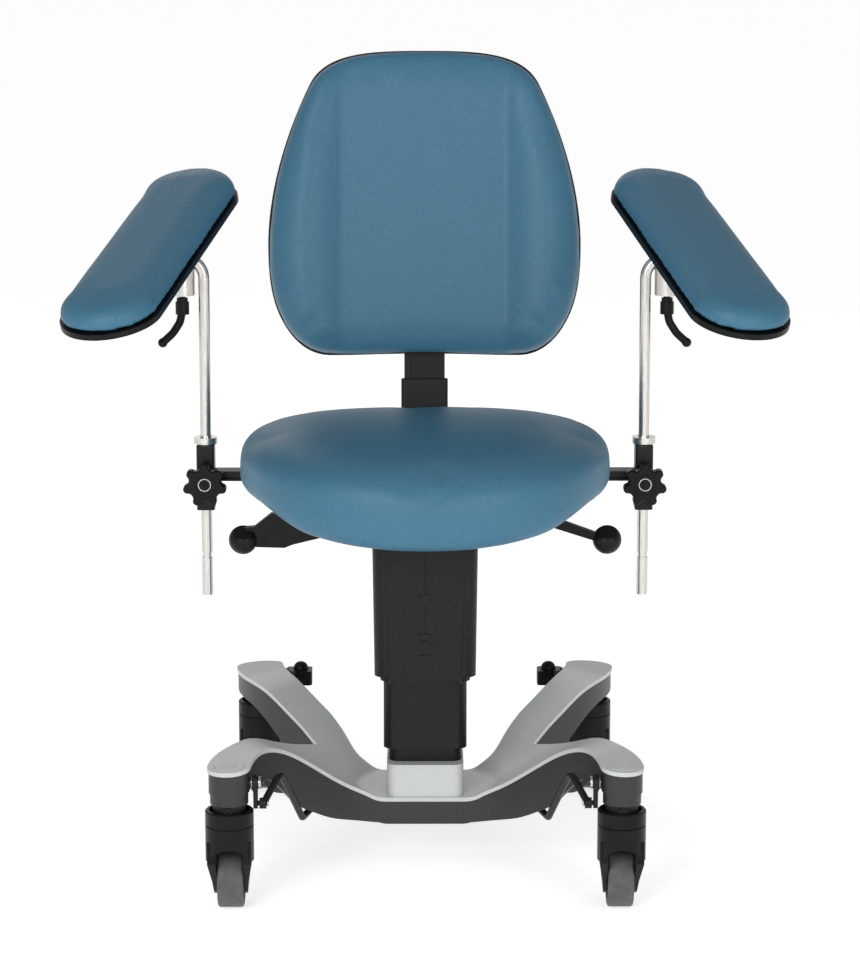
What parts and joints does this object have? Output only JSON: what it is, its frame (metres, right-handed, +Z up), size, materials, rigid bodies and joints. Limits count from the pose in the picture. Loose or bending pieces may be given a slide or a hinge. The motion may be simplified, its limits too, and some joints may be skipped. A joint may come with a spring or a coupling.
{
  "type": "height-adjustable swivel treatment chair",
  "caption": "Swivel treatment chair on braked casters with a telescopic lift column, padded backrest and adjustable padded arm supports.",
  "frame": {"origin": "on the floor, under the axis of the lift column", "axes": "+Z up, the sitter looks along -Y, +X to the right of a person who faces the chair"},
  "size_m": [0.8582, 0.585, 0.9737],
  "materials": {
    "blue_vinyl": "satin vinyl upholstery with a fine grain",
    "cover_gloss": "gloss light grey",
    "black_metal": "fine-textured black powder coat",
    "black_plastic": "moulded, lightly textured",
    "stainless": "brushed stainless",
    "steel": "bright zinc",
    "nylon": "plain nylon",
    "tyre_grey": "non-marking grey rubber"
  },
  "bodies": {
    "base": {"base_frame": "black_metal", "base_cover": "cover_gloss", "caster_spindles": "black_metal", "column_foot": "black_metal", "lift_tube": "steel"},
    "column_middle": {"column_middle": "black_metal"},
    "column_top": {"column_shroud": "black_metal", "lift_rod": "steel", "turntable_plate": "black_metal"},
    "turntable": {"swivel_bearing": "steel", "seat_mechanism": "black_metal", "arm_receiver": "black_metal"},
    "seat": {"seat_pan": "black_metal", "seat_cushion": "blue_vinyl"},
    "back_arm": {"back_arm": "black_metal"},
    "backrest": {"back_post": "black_metal", "back_shell": "black_plastic", "back_cushion": "blue_vinyl"},
    "lever_left": {"lever_left": "black_plastic"},
    "lever_right": {"lever_right": "black_plastic"},
    "arm_slide_left": {"slide_bars_left": "black_metal", "clamp_block_left": "black_metal"},
    "star_knob_left": {"star_knob_left": "black_plastic"},
    "rod_bush_left": {"rod_bush_left": "nylon"},
    "arm_rod_left": {"arm_rod_left": "stainless", "stop_collar_left": "stainless"},
    "ball_cup_left": {"ball_cup_left": "nylon"},
    "arm_pad_left": {"pad_mount_left": "steel", "pad_board_left": "black_plastic", "pad_cushion_left": "blue_vinyl"},
    "clamp_lever_left": {"clamp_lever_left": "black_plastic"},
    "arm_slide_right": {"slide_bars_right": "black_metal", "clamp_block_right": "black_metal"},
    "star_knob_right": {"star_knob_right": "black_plastic"},
    "rod_bush_right": {"rod_bush_right": "nylon"},
    "arm_rod_right": {"arm_rod_right": "stainless", "stop_collar_right": "stainless"},
    "ball_cup_right": {"ball_cup_right": "nylon"},
    "arm_pad_right": {"pad_mount_right": "steel", "pad_board_right": "black_plastic", "pad_cushion_right": "blue_vinyl"},
    "clamp_lever_right": {"clamp_lever_right": "black_plastic"},
    "caster_front_left": {"caster_housing_front_left": "black_plastic"},
    "wheel_front_left": {"wheel_hub_front_left": "black_plastic", "tyre_front_left": "tyre_grey"},
    "caster_front_right": {"caster_housing_front_right": "black_plastic"},
    "wheel_front_right": {"wheel_hub_front_right": "black_plastic", "tyre_front_right": "tyre_grey"},
    "caster_rear_left": {"caster_housing_rear_left": "black_plastic"},
    "wheel_rear_left": {"wheel_hub_rear_left": "black_plastic", "tyre_rear_left": "tyre_grey"},
    "caster_rear_right": {"caster_housing_rear_right": "black_plastic"},
    "wheel_rear_right": {"wheel_hub_rear_right": "black_plastic", "tyre_rear_right": "tyre_grey"},
    "rear_pedal_left": {"rear_pedal_left": "black_plastic"},
    "front_crank_left": {"front_crank_left": "black_metal"},
    "brake_rod_left": {"brake_rod_left": "black_metal"},
    "rear_pedal_right": {"rear_pedal_right": "black_plastic"},
    "front_crank_right": {"front_crank_right": "black_metal"},
    "brake_rod_right": {"brake_rod_right": "black_metal"}
  },
  "joints": [
    {"name": "lift_lower_stage", "type": "slide", "parent": "base", "child": "column_middle", "axis": [0, 0, 1], "range_m": [-0.015, 0.085]},
    {"name": "lift_upper_stage", "type": "slide", "parent": "column_middle", "child": "column_top", "axis": [0, 0, 1], "range_m": [-0.015, 0.085]},
    {"name": "seat_swivel", "type": "hinge", "parent": "column_top", "child": "turntable", "pos_m": [0, 0, 0.426], "axis": [0, 0, 1], "continuous": true},
    {"name": "seat_tilt", "type": "hinge", "parent": "turntable", "child": "seat", "pos_m": [0, -0.095, 0.462], "axis": [1, 0, 0], "range_deg": [0, 6]},
    {"name": "back_recline", "type": "hinge", "parent": "turntable", "child": "back_arm", "pos_m": [0, 0.12, 0.437], "axis": [-1, 0, 0], "range_deg": [0, 15]},
    {"name": "back_height", "type": "slide", "parent": "back_arm", "child": "backrest", "axis": [0, 0.1323, 0.9912], "range_m": [-0.03, 0.06]},
    {"name": "lever_left_lift", "type": "hinge", "parent": "turntable", "child": "lever_left", "pos_m": [-0.095, -0.06, 0.438], "axis": [0, 1, 0], "range_deg": [0, 10], "stiffness_Nm_per_rad": 4, "springref_deg": -5.73},
    {"name": "lever_right_lift", "type": "hinge", "parent": "turntable", "child": "lever_right", "pos_m": [0.095, -0.06, 0.438], "axis": [0, -1, 0], "range_deg": [0, 10], "stiffness_Nm_per_rad": 4, "springref_deg": -5.73},
    {"name": "arm_width_left", "type": "slide", "parent": "turntable", "child": "arm_slide_left", "axis": [-1, 0, 0], "range_m": [-0.02, 0.05]},
    {"name": "star_knob_left_turn", "type": "hinge", "parent": "arm_slide_left", "child": "star_knob_left", "pos_m": [-0.274, 0.084, 0.451], "axis": [0, -1, 0], "range_deg": [0, 180]},
    {"name": "arm_turn_left", "type": "hinge", "parent": "arm_slide_left", "child": "rod_bush_left", "pos_m": [-0.274, 0.104, 0.451], "axis": [0, 0, -1], "range_deg": [-20, 3]},
    {"name": "arm_height_left", "type": "slide", "parent": "rod_bush_left", "child": "arm_rod_left", "axis": [0, 0, 1], "range_m": [0, 0.085]},
    {"name": "pad_swivel_left", "type": "hinge", "parent": "arm_rod_left", "child": "ball_cup_left", "pos_m": [-0.301, 0.104, 0.738], "axis": [0, 0, -1], "range_deg": [-25, 5]},
    {"name": "pad_tilt_left", "type": "hinge", "parent": "ball_cup_left", "child": "arm_pad_left", "pos_m": [-0.301, 0.104, 0.738], "axis": [0.9673, -0.2538, 0], "range_deg": [-8, 12]},
    {"name": "clamp_lever_left_turn", "type": "hinge", "parent": "arm_rod_left", "child": "clamp_lever_left", "pos_m": [-0.301, 0.104, 0.685], "axis": [0, 0, 1], "range_deg": [-60, 60]},
    {"name": "arm_width_right", "type": "slide", "parent": "turntable", "child": "arm_slide_right", "axis": [1, 0, 0], "range_m": [-0.02, 0.05]},
    {"name": "star_knob_right_turn", "type": "hinge", "parent": "arm_slide_right", "child": "star_knob_right", "pos_m": [0.274, 0.084, 0.451], "axis": [0, -1, 0], "range_deg": [0, 180]},
    {"name": "arm_turn_right", "type": "hinge", "parent": "arm_slide_right", "child": "rod_bush_right", "pos_m": [0.274, 0.104, 0.451], "axis": [0, 0, 1], "range_deg": [-20, 3]},
    {"name": "arm_height_right", "type": "slide", "parent": "rod_bush_right", "child": "arm_rod_right", "axis": [0, 0, 1], "range_m": [0, 0.085]},
    {"name": "pad_swivel_right", "type": "hinge", "parent": "arm_rod_right", "child": "ball_cup_right", "pos_m": [0.301, 0.104, 0.738], "axis": [0, 0, 1], "range_deg": [-25, 5]},
    {"name": "pad_tilt_right", "type": "hinge", "parent": "ball_cup_right", "child": "arm_pad_right", "pos_m": [0.301, 0.104, 0.738], "axis": [0.9673, 0.2538, 0], "range_deg": [-8, 12]},
    {"name": "clamp_lever_right_turn", "type": "hinge", "parent": "arm_rod_right", "child": "clamp_lever_right", "pos_m": [0.301, 0.104, 0.685], "axis": [0, 0, 1], "range_deg": [-60, 60]},
    {"name": "caster_swivel_front_left", "type": "hinge", "parent": "base", "child": "caster_front_left", "pos_m": [-0.23, -0.245, 0.1], "axis": [0, 0, 1], "continuous": true},
    {"name": "wheel_spin_front_left", "type": "hinge", "parent": "caster_front_left", "child": "wheel_front_left", "pos_m": [-0.23, -0.216, 0.0375], "axis": [1, 0, 0], "continuous": true},
    {"name": "caster_swivel_front_right", "type": "hinge", "parent": "base", "child": "caster_front_right", "pos_m": [0.23, -0.245, 0.1], "axis": [0, 0, 1], "continuous": true},
    {"name": "wheel_spin_front_right", "type": "hinge", "parent": "caster_front_right", "child": "wheel_front_right", "pos_m": [0.23, -0.216, 0.0375], "axis": [1, 0, 0], "continuous": true},
    {"name": "caster_swivel_rear_left", "type": "hinge", "parent": "base", "child": "caster_rear_left", "pos_m": [-0.216, 0.245, 0.1], "axis": [0, 0, 1], "continuous": true},
    {"name": "wheel_spin_rear_left", "type": "hinge", "parent": "caster_rear_left", "child": "wheel_rear_left", "pos_m": [-0.216, 0.274, 0.0375], "axis": [1, 0, 0], "continuous": true},
    {"name": "caster_swivel_rear_right", "type": "hinge", "parent": "base", "child": "caster_rear_right", "pos_m": [0.216, 0.245, 0.1], "axis": [0, 0, 1], "continuous": true},
    {"name": "wheel_spin_rear_right", "type": "hinge", "parent": "caster_rear_right", "child": "wheel_rear_right", "pos_m": [0.216, 0.274, 0.0375], "axis": [1, 0, 0], "continuous": true},
    {"name": "brake_pedal_left", "type": "hinge", "parent": "base", "child": "rear_pedal_left", "pos_m": [-0.182, 0.245, 0.16], "axis": [-1, 0, 0], "range_deg": [0, 15]},
    {"name": "front_crank_turn_left", "type": "hinge", "parent": "base", "child": "front_crank_left", "pos_m": [-0.2, -0.245, 0.16], "axis": [-1, 0, 0], "range_deg": [0, 15]},
    {"name": "brake_rod_link_left", "type": "hinge", "parent": "front_crank_left", "child": "brake_rod_left", "pos_m": [-0.1905, -0.245, 0.135], "axis": [-1, 0, 0], "range_deg": [-15, 0]},
    {"name": "brake_pedal_right", "type": "hinge", "parent": "base", "child": "rear_pedal_right", "pos_m": [0.182, 0.245, 0.16], "axis": [-1, 0, 0], "range_deg": [0, 15]},
    {"name": "front_crank_turn_right", "type": "hinge", "parent": "base", "child": "front_crank_right", "pos_m": [0.2, -0.245, 0.16], "axis": [-1, 0, 0], "range_deg": [0, 15]},
    {"name": "brake_rod_link_right", "type": "hinge", "parent": "front_crank_right", "child": "brake_rod_right", "pos_m": [0.1905, -0.245, 0.135], "axis": [-1, 0, 0], "range_deg": [-15, 0]}
  ],
  "couplings": [
    {"joint": "lift_upper_stage", "follows": "lift_lower_stage", "ratio": 1},
    {"joint": "front_crank_turn_left", "follows": "brake_pedal_left", "ratio": 1},
    {"joint": "brake_rod_link_left", "follows": "brake_pedal_left", "ratio": -1},
    {"joint": "front_crank_turn_right", "follows": "brake_pedal_right", "ratio": 1},
    {"joint": "brake_rod_link_right", "follows": "brake_pedal_right", "ratio": -1}
  ]
}
